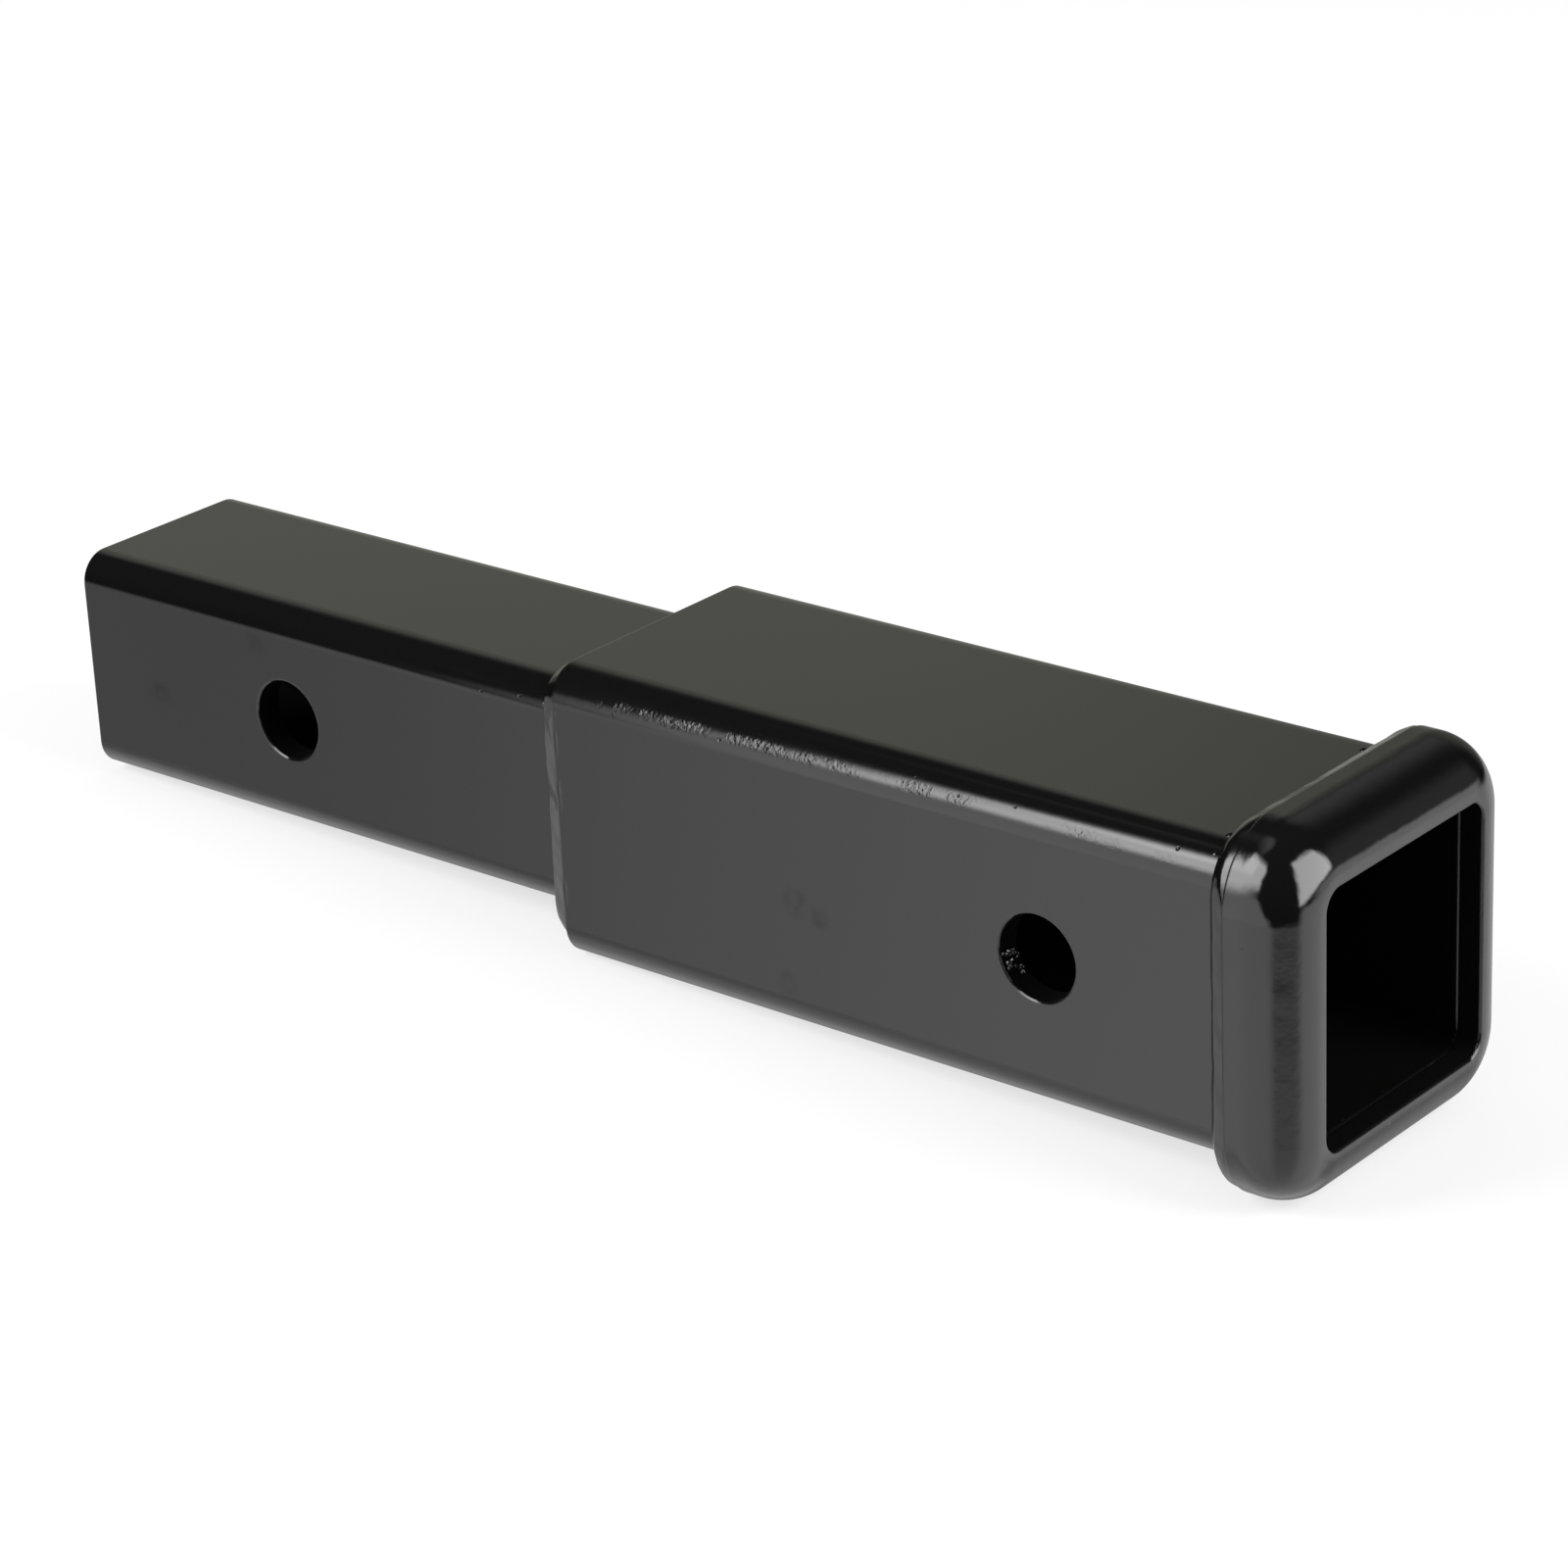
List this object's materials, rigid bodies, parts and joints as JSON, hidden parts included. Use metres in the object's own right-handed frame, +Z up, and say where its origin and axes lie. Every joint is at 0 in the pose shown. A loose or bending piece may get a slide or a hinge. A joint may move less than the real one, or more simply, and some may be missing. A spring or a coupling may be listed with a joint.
{
  "type": "hitch receiver extender",
  "caption": "Square tubular shank welded into a larger receiver tube with a rounded mouth collar, which carries a hitch accessory further back from a vehicle.",
  "frame": {"origin": "centre of the shank's hitch pin hole, on the common axis of the two tubes", "axes": "+X from the shank's open end to the receiver's mouth, +Y along the hitch pins, +Z up"},
  "size_m": [0.3252, 0.0762, 0.0762],
  "materials": {
    "tube_paint": "satin-gloss black paint on rolled steel tube",
    "collar_paint": "gloss black paint on a formed steel ring",
    "weld_paint": "gloss black paint over a rippled weld"
  },
  "bodies": {
    "root": {"shank_tube": "tube_paint", "receiver_tube": "tube_paint", "mouth_collar": "collar_paint", "shank_weld": "weld_paint", "collar_weld": "weld_paint"}
  },
  "joints": []
}
